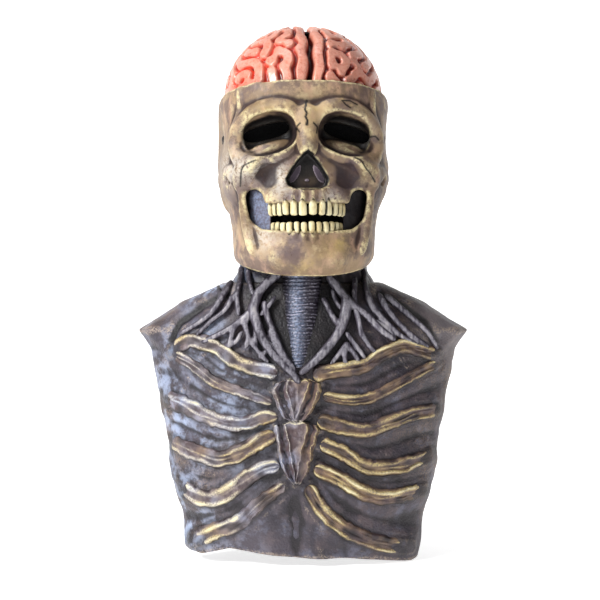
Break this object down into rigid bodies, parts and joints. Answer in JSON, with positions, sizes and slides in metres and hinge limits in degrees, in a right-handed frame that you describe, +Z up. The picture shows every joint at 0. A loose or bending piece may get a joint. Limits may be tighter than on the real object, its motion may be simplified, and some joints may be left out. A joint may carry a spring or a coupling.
{
  "type": "full head mask with bib",
  "caption": "Full-head latex skull mask with an open brain, a hinged toothed jaw, a sinewy neck and a rib-cage bib that closes at the back with two tabs.",
  "frame": {"origin": "centre of the flat underside of the foam crown pad, where the wearer's crown rests", "axes": "+Z up along the wearer's body, +Y from the mask's face to its back, +X towards the viewer's right of the face. The head is turned 2.5 degrees about +Z on its neck."},
  "size_m": [0.364, 0.2237, 0.588],
  "materials": {
    "skull_latex": "satin, dry-brushed aged bone over a dark wash",
    "brain_latex": "glossy, wet pink with dark red folds",
    "tooth_latex": "satin ivory with black lines between the teeth",
    "flesh_latex": "satin purple grey",
    "neck_latex": "satin charcoal, dry-brushed light grey",
    "bib_latex": "leathery satin slate purple",
    "bone_latex": "satin, dry-brushed cream over dark purple grey",
    "black_mesh": "matte black mesh",
    "foam": "matte open-cell foam",
    "webbing": "matte woven black",
    "loop_pile": "matte black pile",
    "hard_plastic": "matte ochre brown"
  },
  "bodies": {
    "mask": {"cranium_shell": "skull_latex", "face_shell": "skull_latex", "brain_cap": "brain_latex", "upper_teeth": "tooth_latex", "nose_cartilage": "flesh_latex", "cheek_web_left": "flesh_latex", "cheek_web_right": "flesh_latex", "neck_shell": "neck_latex", "trachea": "neck_latex", "neck_tendon_left": "neck_latex", "neck_tendon_right": "neck_latex", "neck_strands_left": "neck_latex", "neck_strands_right": "neck_latex", "chest_bib": "bib_latex", "back_bib": "bib_latex", "clavicle_left": "bone_latex", "clavicle_right": "bone_latex", "rib_1_left": "bone_latex", "rib_1_right": "bone_latex", "rib_2_left": "bone_latex", "rib_2_right": "bone_latex", "rib_3_left": "bone_latex", "rib_3_right": "bone_latex", "rib_4_left": "bone_latex", "rib_4_right": "bone_latex", "rib_5_left": "bone_latex", "rib_5_right": "bone_latex", "manubrium": "bone_latex", "sternum_body": "bone_latex", "eye_screen_left": "black_mesh", "eye_screen_right": "black_mesh", "mouth_screen": "black_mesh", "crown_pad": "foam", "brow_pad": "foam", "temple_pad_left": "foam", "temple_pad_right": "foam", "head_strap": "webbing", "tab_anchor_upper": "webbing", "tab_anchor_lower": "webbing", "loop_patch_upper": "loop_pile", "loop_patch_lower": "loop_pile", "pivot_plate_left": "hard_plastic", "pivot_plate_right": "hard_plastic", "jaw_pin_left": "hard_plastic", "jaw_pin_right": "hard_plastic"},
    "jaw": {"jaw_shell": "skull_latex", "lower_teeth": "tooth_latex", "chin_cup": "foam"},
    "upper_tab": {"closure_tab_upper": "webbing"},
    "lower_tab": {"closure_tab_lower": "webbing"}
  },
  "joints": [
    {"name": "jaw_open", "type": "hinge", "parent": "mask", "child": "jaw", "pos_m": [-0.00044, 0.00999, -0.168], "axis": [0.999, 0.0436, 0], "range_deg": [-2.5, 8], "stiffness_Nm_per_rad": 1.6, "springref_deg": -2.01},
    {"name": "closure_tab_upper_peel", "type": "hinge", "parent": "mask", "child": "upper_tab", "pos_m": [-0.014, 0.07865, -0.258], "axis": [0, 0, 1], "range_deg": [0, 110]},
    {"name": "closure_tab_lower_peel", "type": "hinge", "parent": "mask", "child": "lower_tab", "pos_m": [-0.014, 0.09765, -0.345], "axis": [0, 0, 1], "range_deg": [0, 110]}
  ]
}
